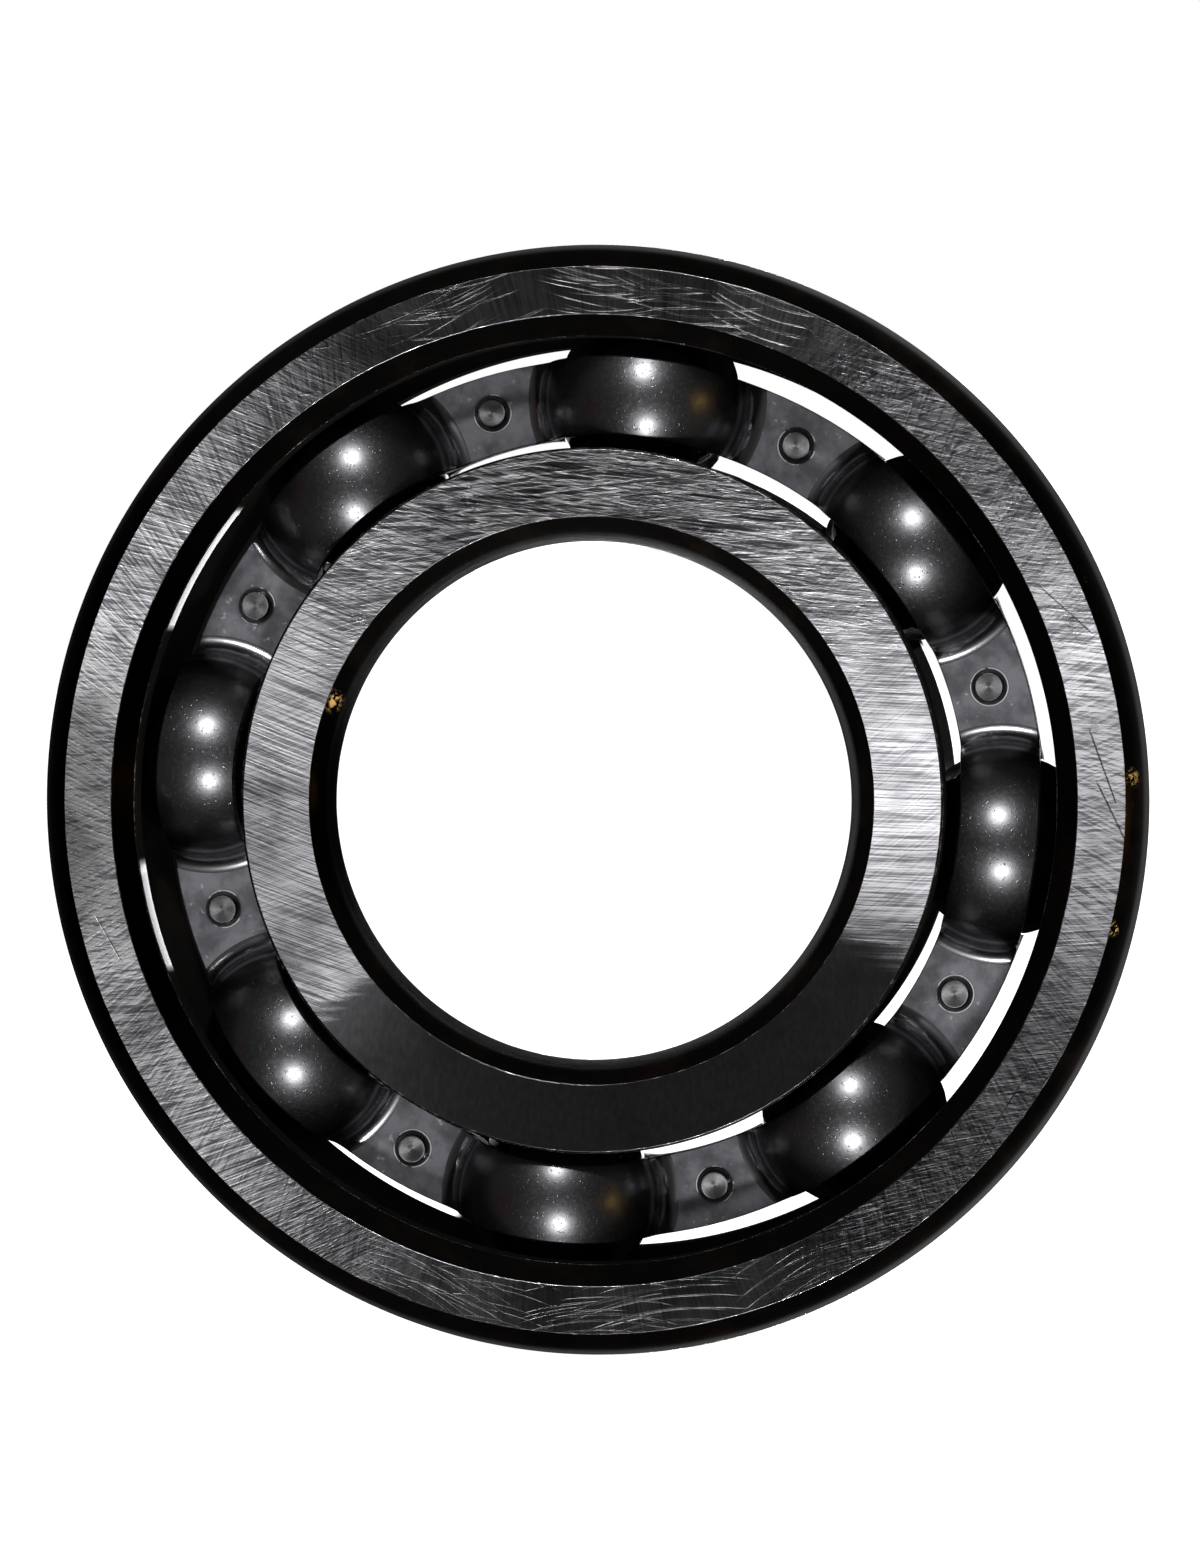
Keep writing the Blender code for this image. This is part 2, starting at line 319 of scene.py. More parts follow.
def outer_ring_outline():
    """Rounded outside corners, chamfers down to the lands, and the raceway groove."""
    groove_center = PITCH_RADIUS + BALL_RADIUS + RACEWAY_CLEARANCE - GROOVE_RADIUS
    spread = math.acos((OUTER_LAND_RADIUS - groove_center) / GROOVE_RADIUS)
    groove = arc((groove_center, 0.0), GROOVE_RADIUS, -spread, spread, GROOVE_STEPS)
    land_y = HALF_WIDTH - OUTER_CHAMFER_DEPTH
    face_edge = OUTSIDE_RADIUS - OUTSIDE_CORNER
    corner_y = HALF_WIDTH - OUTSIDE_CORNER
    return outline_from([
        *bulged_chamfer((face_edge, HALF_WIDTH), (OUTSIDE_RADIUS, corner_y), "corner", "seat"),
        *bulged_chamfer((OUTSIDE_RADIUS, -corner_y), (face_edge, -HALF_WIDTH), "corner", "face"),
        (OUTER_FACE_EDGE_RADIUS, -HALF_WIDTH, EDGE_ROUNDING, "edge", "corner"),
        (OUTER_LAND_RADIUS, -land_y, EDGE_ROUNDING, "edge", "land"),
        *((point.x, point.y, 0.0, "land", "raceway") for point in groove[:-1]),
        (groove[-1].x, groove[-1].y, 0.0, "land", "land"),
        (OUTER_LAND_RADIUS, land_y, EDGE_ROUNDING, "edge", "corner"),
        (OUTER_FACE_EDGE_RADIUS, HALF_WIDTH, EDGE_ROUNDING, "edge", "face"),
    ])


def inner_ring_outline():
    """Rounded bore corners, lands with broken edges, and the raceway groove."""
    groove_center = PITCH_RADIUS - BALL_RADIUS - RACEWAY_CLEARANCE + GROOVE_RADIUS
    spread = math.acos((groove_center - INNER_LAND_RADIUS) / GROOVE_RADIUS)
    groove = arc((groove_center, 0.0), GROOVE_RADIUS, math.pi - spread, math.pi + spread, GROOVE_STEPS)
    face_edge = INNER_LAND_RADIUS - INNER_EDGE_BREAK
    land_y = HALF_WIDTH - INNER_EDGE_BREAK
    corner_edge = BORE_RADIUS + BORE_CORNER
    corner_y = HALF_WIDTH - BORE_CORNER
    return outline_from([
        *bulged_chamfer((corner_edge, -HALF_WIDTH), (BORE_RADIUS, -corner_y), "corner", "seat"),
        *bulged_chamfer((BORE_RADIUS, corner_y), (corner_edge, HALF_WIDTH), "corner", "face"),
        (face_edge, HALF_WIDTH, FINE_ROUNDING, "edge", "edge"),
        (INNER_LAND_RADIUS, land_y, FINE_ROUNDING, "edge", "land"),
        *((point.x, point.y, 0.0, "land", "raceway") for point in groove[:-1]),
        (groove[-1].x, groove[-1].y, 0.0, "land", "land"),
        (INNER_LAND_RADIUS, -land_y, FINE_ROUNDING, "edge", "edge"),
        (face_edge, -HALF_WIDTH, FINE_ROUNDING, "edge", "face"),
    ])


def angle_at(radius, distance):
    """Angle from a ball's middle of the point that far from the axis and that far from the middle."""
    return math.acos((radius**2 + PITCH_RADIUS**2 - distance**2) / (2.0 * radius * PITCH_RADIUS))


def bend_section(pocket_radius, web_height, bend_radius):
    """Bend from a pocket's sphere to the flat web, as (distance from the ball's middle, height)."""
    center_height = web_height + bend_radius
    center_distance = math.sqrt((pocket_radius + bend_radius) ** 2 - center_height**2)
    start = math.atan2(center_distance, center_height)
    turns = (start * (1.0 - step / BEND_STEPS) for step in range(BEND_STEPS + 1))
    return [
        (center_distance - bend_radius * math.sin(turn), center_height - bend_radius * math.cos(turn))
        for turn in turns
    ]


def sheet_section(radius, offset):
    """One pitch of the cage at a distance from the axis and from the sheet's inside, as (angle, height).

    The surface is a sphere round the ball, bends out of it, and is flat between the pockets.
    """
    pocket_radius = POCKET_RADIUS + offset
    web_height = SHEET_GAP / 2.0 + offset
    bend_radius = POCKET_BEND_RADIUS + SHEET_THICKNESS - offset
    bend = [
        (angle_at(radius, distance), height)
        for distance, height in bend_section(pocket_radius, web_height, bend_radius)
    ]
    dome = []
    for step in range(1 - POCKET_STEPS, POCKET_STEPS):
        angle = bend[0][0] * math.sin(math.pi / 2.0 * step / POCKET_STEPS)
        square = radius**2 + PITCH_RADIUS**2 - 2.0 * radius * PITCH_RADIUS * math.cos(angle)
        dome.append((angle, math.sqrt(pocket_radius**2 - square)))
    web_edge = bend[-1][0]
    web_span = BALL_PITCH_ANGLE - 2.0 * web_edge
    web = [(web_edge + web_span * step / WEB_STEPS, web_height) for step in range(1, WEB_STEPS)]
    return [(-angle, height) for angle, height in reversed(bend)] + dome + bend + web


def strip_outline():
    """The sheet's cross-section as (distance from the axis, distance from its inside) points."""
    corners = [
        (CAGE_INNER_RADIUS, 0.0),
        (CAGE_OUTER_RADIUS, 0.0),
        (CAGE_OUTER_RADIUS, SHEET_THICKNESS),
        (CAGE_INNER_RADIUS, SHEET_THICKNESS),
    ]
    points, _ = outline_from([(x, y, SHEET_EDGE_ROUNDING, "", "") for x, y in corners])
    outline = []
    for point, following in zip(points, points[1:] + points[:1]):
        steps = STRIP_STEPS if (following - point).length > SHEET_THICKNESS else 1
        outline += [point.lerp(following, step / steps) for step in range(steps)]
    return outline


def cage_mesh(name, side, pocket, web, sheared):
    """One pressing of the cage: side is -1 for the front one and +1 for the rear one."""
    shape = bmesh.new()
    outline = strip_outline()
    rows = []
    starts = [FIRST_BALL_ANGLE + pitch * BALL_PITCH_ANGLE for pitch in range(len(BALL_NODES))]
    for radius, offset in outline:
        section = sheet_section(radius, offset)
        rows.append([
            shape.verts.new(on_circle(radius, start + angle, side * height))
            for start in starts
            for angle, height in section
        ])
    per_pitch = len(section)
    web_start = per_pitch - WEB_STEPS + 1
    for index, row in enumerate(rows):
        following = rows[(index + 1) % len(rows)]
        across = outline[(index + 1) % len(rows)] - outline[index]
        cut_edge = abs(across.y) > abs(across.x)
        for column, vertex in enumerate(row):
            face = shape.faces.new((vertex, row[column - 1], following[column - 1], following[column]))
            in_web = column % per_pitch >= web_start or column % per_pitch == 0
            face.material_index = 2 if cut_edge else int(in_web)
    return finished_mesh(shape, name, (pocket, web, sheared))


def rivet_hole_cutter():
    """Pins through both webs, one at each rivet."""
    shape = bmesh.new()
    for node in RIVET_NODES:
        made = bmesh.ops.create_cone(
            shape, cap_ends=True, segments=RIVET_SEGMENTS,
            radius1=RIVET_HOLE_RADIUS, radius2=RIVET_HOLE_RADIUS, depth=4.0 * SHEET_THICKNESS,
        )
        for vertex in made["verts"]:
            vertex.co = Vector((vertex.co.x, vertex.co.z, -vertex.co.y)) + middle_of(node)
    cutter = bpy.data.objects.new("rivet_holes", finished_mesh(shape, "rivet_holes", ()))
    bpy.context.scene.collection.objects.link(cutter)
    return cutter


def drilled(mesh, cutter):
    """The same mesh with the rivet holes cut out of it."""
    blank = bpy.data.objects.new("cage_blank", mesh)
    bpy.context.scene.collection.objects.link(blank)
    holes = blank.modifiers.new("rivet_holes", "BOOLEAN")
    holes.operation = "DIFFERENCE"
    holes.object = cutter
    graph = bpy.context.evaluated_depsgraph_get()
    made = bpy.data.meshes.new_from_object(blank.evaluated_get(graph))
    bpy.data.objects.remove(blank)
    return made


def rivet_outline():
    """A shank through both sheets, and at each end a coned head with a dished top."""
    seat = SHEET_GAP / 2.0 + SHEET_THICKNESS
    top = min(seat + RIVET_HEAD_HEIGHT, RIVET_HALF_LENGTH)
    rim = seat + RIVET_RIM_HEIGHT
    front = [
        (0.0, -top + RIVET_DISH_DEPTH, 0.0, "top", "top"),
        (RIVET_DISH_RADIUS * 0.45, -top + 0.7 * RIVET_DISH_DEPTH, 0.0, "top", "top"),
        (RIVET_DISH_RADIUS, -top, FINE_ROUNDING, "top", "top"),
        (RIVET_TOP_RADIUS, -top, FINE_ROUNDING / 2.0, "top", "cone"),
        (RIVET_BASE_RADIUS, -rim, FINE_ROUNDING, "cone", "cone"),
        (RIVET_BASE_RADIUS, -seat, FINE_ROUNDING / 2.0, "cone", "cone"),
        (RIVET_SHANK_RADIUS, -seat, 0.0, "cone", "cone"),
    ]
    rear = [(x, -y, radius, arc_finish, "cone") for x, y, radius, arc_finish, _ in reversed(front)]
    return outline_from(front + rear, closed=False)


def ball_outline():
    points = arc((0.0, 0.0), BALL_RADIUS, -math.pi / 2.0, math.pi / 2.0, BALL_SEGMENTS // 2)
    return points, ["ball"] * len(points)


# ---------------------------------------- material nodes

def new_material(name, color, roughness, anisotropy=0.0, metallic=1.0):
    """A material with one Principled shader. Returns the material, its node tree and the shader."""
    material = bpy.data.materials.new(name)
    material.use_nodes = True
    tree = material.node_tree
    shader = tree.nodes["Principled BSDF"]
    shader.inputs["Base Color"].default_value = (*color, 1.0)
    shader.inputs["Metallic"].default_value = metallic
    shader.inputs["Roughness"].default_value = roughness
    shader.inputs["Anisotropic"].default_value = anisotropy
    return material, tree, shader


def feed(shader, sockets):
    """Links sockets to a shader's inputs, by the inputs' names."""
    for name, socket in sockets.items():
        shader.id_data.links.new(socket, shader.inputs[name])


def node(tree, kind, values=None, **settings):
    """Adds a node. values holds its inputs by name or number, each a value or a socket to link."""
    made = tree.nodes.new(kind)
    for name, setting in settings.items():
        setattr(made, name, setting)
    for name, value in (values or {}).items():
        if isinstance(value, bpy.types.NodeSocket):
            tree.links.new(value, made.inputs[name])
        else:
            made.inputs[name].default_value = value
    return made


def calc(tree, operation, *values):
    return node(tree, "ShaderNodeMath", dict(enumerate(values)), operation=operation).outputs[0]


def weighted_sum(tree, start, *shares):
    """The start plus each (value, factor) pair's product."""
    for value, factor in shares:
        start = calc(tree, "MULTIPLY_ADD", value, factor, start)
    return start


def vector_calc(tree, operation, *values):
    made = node(tree, "ShaderNodeVectorMath", operation=operation)
    sockets = [socket for socket in made.inputs if socket.name != "Scale"]
    for socket, value in zip(sockets, values):
        if isinstance(value, bpy.types.NodeSocket):
            tree.links.new(value, socket)
        else:
            socket.default_value = value
    return made.outputs["Value" if operation in ("DOT_PRODUCT", "LENGTH", "DISTANCE") else "Vector"]


def scaled(tree, vector, factor):
    made = node(tree, "ShaderNodeVectorMath", {"Scale": factor}, operation="SCALE")
    tree.links.new(vector, made.inputs[0])
    return made.outputs["Vector"]


def combined(tree, **parts):
    return node(tree, "ShaderNodeCombineXYZ", parts).outputs[0]


def separated(tree, vector):
    return node(tree, "ShaderNodeSeparateXYZ", {0: vector}).outputs


def ramp(tree, value, low, high, start=0.0, end=1.0):
    """Smooth step from start to end as the value goes from low to high."""
    inputs = {"Value": value, "From Min": low, "From Max": high, "To Min": start, "To Max": end}
    return node(tree, "ShaderNodeMapRange", inputs, interpolation_type="SMOOTHSTEP").outputs["Result"]


def noise(tree, vector, scale=1.0, detail=2.0, roughness=0.5):
    inputs = {"Vector": vector, "Scale": scale, "Detail": detail, "Roughness": roughness}
    return node(tree, "ShaderNodeTexNoise", inputs).outputs["Fac"]


def blend(tree, factor, first, second):
    return node(tree, "ShaderNodeMix", {0: factor, 2: first, 3: second}).outputs[0]


def mixed_color(tree, factor, first, second):
    """Mix of two colours, each a triple or a socket."""
    first, second = (
        color if isinstance(color, bpy.types.NodeSocket) else (*color, 1.0) for color in (first, second)
    )
    return node(tree, "ShaderNodeMix", {0: factor, 6: first, 7: second}, data_type="RGBA").outputs[2]


def toned(tree, value, low, high, first, second):
    """Colour that goes from the first to the second as the value goes from low to high."""
    return mixed_color(tree, ramp(tree, value, low, high), first, second)


def object_position(tree):
    return node(tree, "ShaderNodeTexCoord").outputs["Object"]


def flat_position(tree, position):
    """The position without its part along the bearing's axis."""
    return vector_calc(tree, "MULTIPLY", position, (1.0, 0.0, 1.0))


def axis_distance(tree, position):
    return vector_calc(tree, "LENGTH", flat_position(tree, position))


def outward_direction(tree, position):
    return vector_calc(tree, "NORMALIZE", flat_position(tree, position))


def section_position(tree, position):
    """Place in the bearing's cross-section, the same all the way round."""
    return combined(tree, X=axis_distance(tree, position), Y=separated(tree, position)["Y"])


def facing(tree, outward, angle):
    """Cosine of the angle between an outward direction and the one at the given angle, in degrees."""
    return vector_calc(tree, "DOT_PRODUCT", outward, on_circle(1.0, math.radians(angle)))


def add_bump(tree, shader, height, distance):
    bump = node(tree, "ShaderNodeBump", {"Height": height, "Distance": distance, "Strength": 1.0})
    feed(shader, {"Normal": bump.outputs["Normal"]})


def spiral_lines(tree, position, lean, width, length, detail=2.0):
    """Noise drawn out along lines at a constant angle, lean, to the outward direction, in degrees."""
    lean = math.radians(lean)
    flat = flat_position(tree, position)
    radius = vector_calc(tree, "LENGTH", flat)
    growth = calc(tree, "LOGARITHM", calc(tree, "DIVIDE", radius, PITCH_RADIUS), math.e)
    turn = {"Vector": flat, "Angle": calc(tree, "MULTIPLY", growth, math.tan(lean))}
    turned = node(tree, "ShaderNodeVectorRotate", turn, rotation_type="Y_AXIS").outputs["Vector"]
    around = scaled(tree, vector_calc(tree, "NORMALIZE", turned), PITCH_RADIUS * math.cos(lean) / width)
    along = combined(tree, Y=calc(tree, "MULTIPLY", radius, 1.0 / (length * math.cos(lean))))
    return noise(tree, vector_calc(tree, "ADD", around, along), detail=detail, roughness=0.6)


def arc_lines(tree, position, center, width, length, detail=2.0, seed=0.0):
    """Noise drawn out along arcs round a point of the face's plane, given as (x, z)."""
    reach = vector_calc(tree, "SUBTRACT", flat_position(tree, position), (center[0], 0.0, center[1]))
    parts = separated(tree, reach)
    bearing = calc(tree, "ARCTAN2", parts["X"], parts["Z"])
    coordinates = combined(
        tree,
        X=calc(tree, "MULTIPLY", vector_calc(tree, "LENGTH", reach), 1.0 / width),
        Y=calc(tree, "MULTIPLY", bearing, math.hypot(*center) / length),
        Z=seed,
    )
    return noise(tree, coordinates, detail=detail, roughness=0.6)


def level_lines(tree, position, fan, width, length, seed=0.0):
    """Noise drawn out along nearly level lines that close up towards +X by the fan, a share each metre."""
    parts = separated(tree, position)
    opened = calc(tree, "MULTIPLY_ADD", parts["X"], fan, 1.0)
    coordinates = combined(
        tree,
        X=calc(tree, "MULTIPLY", calc(tree, "MULTIPLY", parts["Z"], opened), 1.0 / width),
        Y=calc(tree, "MULTIPLY", parts["X"], 1.0 / length),
        Z=seed,
    )
    return noise(tree, coordinates, detail=2.5, roughness=0.6)


def painted_light_by_angle(tree, position, lobes):
    """Painted light and shade: a gain on a surface's colour at some angles round the axis."""
    outward = outward_direction(tree, position)
    painted_light_gain = 1.0
    for angle, gain, reach in lobes:
        lobe = ramp(tree, facing(tree, outward, angle), math.cos(math.radians(reach)), 1.0, 1.0, gain)
        painted_light_gain = calc(tree, "MULTIPLY", painted_light_gain, lobe)
    return painted_light_gain


def scratches(tree, position, marks):
    """Cover of fine straight scratches."""
    cover = 0.0
    for angle, distance, lean, length in marks:
        reach = vector_calc(tree, "SUBTRACT", position, on_circle(distance, math.radians(angle)))
        side = calc(tree, "ABSOLUTE", facing(tree, reach, lean + 90.0))
        run = calc(tree, "ABSOLUTE", facing(tree, reach, lean))
        beside = ramp(tree, side, SCRATCH_EDGE, SCRATCH_CORE)
        mark = calc(tree, "MULTIPLY", beside, ramp(tree, run, length / 2.0, length / 3.0))
        cover = calc(tree, "MAXIMUM", cover, mark)
    return cover


def sector_arcs(tree, position, sectors, offset, center_distance):
    """Arcs that bend away from the bearing's axis in each sector, and their fade towards its sides."""
    flat = flat_position(tree, position)
    radius = vector_calc(tree, "LENGTH", flat)
    parts = separated(tree, flat)
    around = calc(tree, "ARCTAN2", parts["Z"], parts["X"])
    turns = calc(tree, "MULTIPLY_ADD", around, sectors / math.tau, offset)
    part = calc(tree, "SUBTRACT", calc(tree, "FRACT", turns), 0.5)
    angle = calc(tree, "MULTIPLY", part, math.tau / sectors)
    product = calc(tree, "MULTIPLY", calc(tree, "COSINE", angle), radius)
    square = calc(tree, "MULTIPLY_ADD", radius, radius, center_distance**2)
    distance = calc(tree, "SQRT", calc(tree, "MULTIPLY_ADD", product, -2.0 * center_distance, square))
    coordinates = combined(
        tree,
        X=calc(tree, "MULTIPLY", distance, 1.0 / STRAY_WIDTH),
        Y=calc(tree, "MULTIPLY", angle, OUTER_LAND_RADIUS / STRAY_LENGTH),
        Z=calc(tree, "MULTIPLY", calc(tree, "FLOOR", turns), SECTOR_SEED),
    )
    return noise(tree, coordinates, detail=0.0), ramp(tree, calc(tree, "ABSOLUTE", part), 0.46, 0.12)


def pitch_position(tree, position, step):
    """Place in the cage's plane from the nearest ball's middle, or nearest rivet with a step of a half."""
    flat = flat_position(tree, position)
    radius = vector_calc(tree, "LENGTH", flat)
    parts = separated(tree, flat)
    angle = calc(tree, "SUBTRACT", calc(tree, "ARCTAN2", parts["Z"], parts["X"]), FIRST_BALL_ANGLE)
    turns = calc(tree, "MULTIPLY_ADD", angle, 1.0 / BALL_PITCH_ANGLE, 0.5 + step)
    part = calc(tree, "SUBTRACT", calc(tree, "FRACT", turns), 0.5)
    local = calc(tree, "MULTIPLY", part, BALL_PITCH_ANGLE)
    outward = calc(tree, "MULTIPLY_ADD", radius, calc(tree, "COSINE", local), -PITCH_RADIUS)
    return combined(tree, X=outward, Z=calc(tree, "MULTIPLY", radius, calc(tree, "SINE", local)))


def around_tangent(tree, position):
    """World direction round the bearing's axis, for the grain of a surface ground across that direction."""
    around = vector_calc(tree, "CROSS_PRODUCT", flat_position(tree, position), (0.0, 1.0, 0.0))
    to_world = node(
        tree, "ShaderNodeVectorTransform", {"Vector": around},
        vector_type="VECTOR", convert_from="OBJECT", convert_to="WORLD",
    )
    return vector_calc(tree, "NORMALIZE", to_world.outputs["Vector"])


# ---------------------------------------- materials

def ground_face(name):
    """The start that the rings' face materials share, with the grain's direction."""
    material, tree, shader = new_material(name, (0.55, 0.54, 0.57), 0.33, anisotropy=0.8)
    position = object_position(tree)
    feed(shader, {"Tangent": around_tangent(tree, position)})
    return material, tree, shader, position


def ground_face_finish(tree, position, grain, painted_light_gain):
    """Colour of a ground face, from its fine grain and its painted light and shade, and its roughness."""
    cloud = noise(tree, position, scale=110.0, detail=4.0, roughness=0.6)
    color = toned(tree, grain, 0.39, 0.59, (0.18, 0.176, 0.192), (0.80, 0.79, 0.82))
    hazed = mixed_color(tree, ramp(tree, cloud, 0.55, 0.30, 0.0, 0.45), color, (0.22, 0.217, 0.232))
    return scaled(tree, hazed, painted_light_gain), ramp(tree, cloud, 0.3, 0.7, 0.27, 0.38)


def outer_face_steel():
    """Grain across the face, cross-hatched at the sides, with stray arcs left by the wheel."""
    material, tree, shader, position = ground_face("outer_ring_face")
    sideways = calc(tree, "ABSOLUTE", separated(tree, outward_direction(tree, position))["X"])
    beside = ramp(tree, sideways, 0.26, 0.62)
    fine = spiral_lines(tree, position, 6.0, 0.00026, 0.009, detail=3.0)
    faint = calc(tree, "MULTIPLY_ADD", fine, 0.25, 0.375)
    level = level_lines(tree, position, 5.6, 0.00024, 0.007)
    crossing = spiral_lines(tree, position, -24.0, 0.00028, 0.007)
    counter = spiral_lines(tree, position, 19.0, 0.00030, 0.006)
    gouges = ramp(tree, level_lines(tree, position, -2.0, 0.00050, 0.005, seed=5.0), 0.38, 0.30)
    hatch = weighted_sum(tree, 0.0, (level, 0.40), (crossing, 0.34), (counter, 0.26))
    hatch = weighted_sum(tree, -0.20, (hatch, 1.40), (gouges, -0.10))
    strays = 0.0
    for sectors, offset, center_distance, low in STRAY_ARCS:
        lines, fade = sector_arcs(tree, position, sectors, offset, center_distance)
        stray = calc(tree, "MULTIPLY", ramp(tree, lines, low, low + 0.07), fade)
        strays = calc(tree, "MAXIMUM", strays, stray)
    marks = scratches(tree, position, FACE_SCRATCHES)
    height = blend(tree, beside, faint, calc(tree, "MULTIPLY", hatch, 2.1))
    height = weighted_sum(tree, height, (strays, ramp(tree, beside, 0.0, 0.7, -0.65, 0.0)), (marks, -0.5))
    add_bump(tree, shader, height, GRAIN_DEPTH)
    grain = weighted_sum(tree, blend(tree, beside, faint, hatch), (marks, -0.12))
    # Painted light and shade: the colour brighter or darker at some angles round the face.
    painted_light_gain = painted_light_by_angle(tree, position, OUTER_FACE_PAINTED_LIGHT)
    color, roughness = ground_face_finish(tree, position, grain, painted_light_gain)
    feed(shader, {"Base Color": color, "Roughness": roughness})
    return material


def inner_face_steel():
    """Grain that runs straight over the face, except on a smooth stretch where it turns with the ring."""
    material, tree, shader, position = ground_face("inner_ring_face")
    outward = outward_direction(tree, position)
    ragged = noise(tree, vector_calc(tree, "MULTIPLY", position, (60.0, 0.0, 900.0)))
    edge = calc(tree, "MULTIPLY_ADD", ragged, 0.12, facing(tree, outward, SMOOTH_MIDDLE))
    smooth = ramp(tree, edge, 0.56, 0.64)
    upper = ramp(tree, separated(tree, outward)["Z"], 0.25, 0.75)
    fine = arc_lines(tree, position, (0.05, 0.24), 0.00022, 0.012, detail=3.0)
    crossing = arc_lines(tree, position, (-0.11, 0.20), 0.00030, 0.010, seed=3.0)
    combed = level_lines(tree, position, 3.0, 0.00034, 0.030, seed=2.0)
    rising = arc_lines(tree, position, (0.035, -0.26), 0.00042, 0.034, seed=8.0)
    falling = arc_lines(tree, position, (-0.020, -0.20), 0.00030, 0.026, seed=5.0)
    strokes = 0.0
    for lines in (combed, rising, falling):
        strokes = calc(tree, "MAXIMUM", strokes, ramp(tree, lines, 0.52, 0.65))
    height = calc(tree, "MULTIPLY_ADD", crossing, 0.2, fine)
    height = calc(tree, "MULTIPLY", height, ramp(tree, upper, 0.0, 1.0, 1.0, 0.5))
    height = calc(tree, "MULTIPLY_ADD", calc(tree, "MULTIPLY", strokes, upper), -0.85, height)
    faint = calc(tree, "MULTIPLY", spiral_lines(tree, position, 15.0, 0.00025, 0.010), 0.35)
    add_bump(tree, shader, blend(tree, smooth, height, faint), GRAIN_DEPTH)
    hatch = weighted_sum(tree, 0.0, (fine, 0.8), (crossing, 0.2))
    haze = noise(tree, vector_calc(tree, "MULTIPLY", position, (1.0, 0.0, 0.45)), scale=1600.0, detail=4.0)
    grain = blend(tree, smooth, hatch, ramp(tree, haze, 0.3, 0.75, 0.474, 0.510))
    # Painted light and shade at some angles, and painted shade of a flat gain over the smooth stretch.
    painted_light_gain = blend(tree, smooth, painted_light_by_angle(tree, position, INNER_FACE_PAINTED_LIGHT), 0.65)
    color, roughness = ground_face_finish(tree, position, grain, painted_light_gain)
    feed(shader, {"Base Color": color, "Roughness": blend(tree, smooth, roughness, 0.20)})
    return material


def turned_dark_steel(name, stains, worn, painted_light_lobes):
    """Dark, smooth hardened corners with turning marks, oil stains, a worn band and painted light and shade.
    """
    material, tree, shader = new_material(name, (0.060, 0.055, 0.052), 0.20, anisotropy=0.6)
    position = object_position(tree)
    add_bump(tree, shader, noise(tree, section_position(tree, position), scale=9000.0), 0.0000012)
    tint = noise(tree, position, scale=140.0, detail=4.0, roughness=0.6)
    color = toned(tree, tint, 0.45, 0.75, (0.055, 0.051, 0.047), (0.110, 0.078, 0.062))
    wear_start, wear_end, level = worn
    color = toned(tree, axis_distance(tree, position), wear_start, wear_end, color, (level,) * 3)
    # Painted light and shade: the colour brighter or darker at some angles round the corner.
    color = scaled(tree, color, painted_light_by_angle(tree, position, painted_light_lobes))
    blotch = ramp(tree, noise(tree, position, scale=1500.0, detail=4.0, roughness=0.7), 0.5, 0.56)
    stained = 0.0
    for angle, distance, reach in stains:
        middle = on_circle(distance, math.radians(angle), -HALF_WIDTH)
        spot = ramp(tree, vector_calc(tree, "DISTANCE", position, middle), reach, 0.3 * reach)
        cover = calc(tree, "MULTIPLY", spot, blotch)
        color = mixed_color(tree, cover, color, STAIN_COLOR)
        stained = calc(tree, "MAXIMUM", stained, cover)
    roughness = ramp(tree, tint, 0.3, 0.7, 0.17, 0.26)
    metallic = calc(tree, "SUBTRACT", 1.0, stained)
    feed(shader, {"Base Color": color, "Roughness": roughness, "Metallic": metallic})
    return material


def ground_cylinder_steel(name, color, roughness, nicked=False):
    """Bore, outside diameter and broken edges, ground round the axis. Nicks are small bright spots."""
    material, tree, shader = new_material(name, color, roughness, anisotropy=0.5)
    position = object_position(tree)
    stretched = vector_calc(tree, "MULTIPLY", position, (1.0, 45.0, 1.0))
    streaks = noise(tree, stretched, scale=130.0, detail=4.0, roughness=0.65)
    rings = noise(tree, section_position(tree, position), scale=5000.0, detail=3.0)
    add_bump(tree, shader, calc(tree, "ADD", streaks, rings), 0.0000020)
    dark = tuple(0.82 * part for part in color)
    color = toned(tree, streaks, 0.35, 0.65, dark, color)
    if nicked:
        nicks = noise(tree, position, scale=520.0, detail=3.0, roughness=0.7)
        color = toned(tree, nicks, 0.54, 0.58, color, (0.98, 0.98, 0.98))
    spread = ramp(tree, streaks, 0.3, 0.7, 0.8 * roughness, 1.3 * roughness)
    feed(shader, {"Base Color": color, "Roughness": spread})
    return material


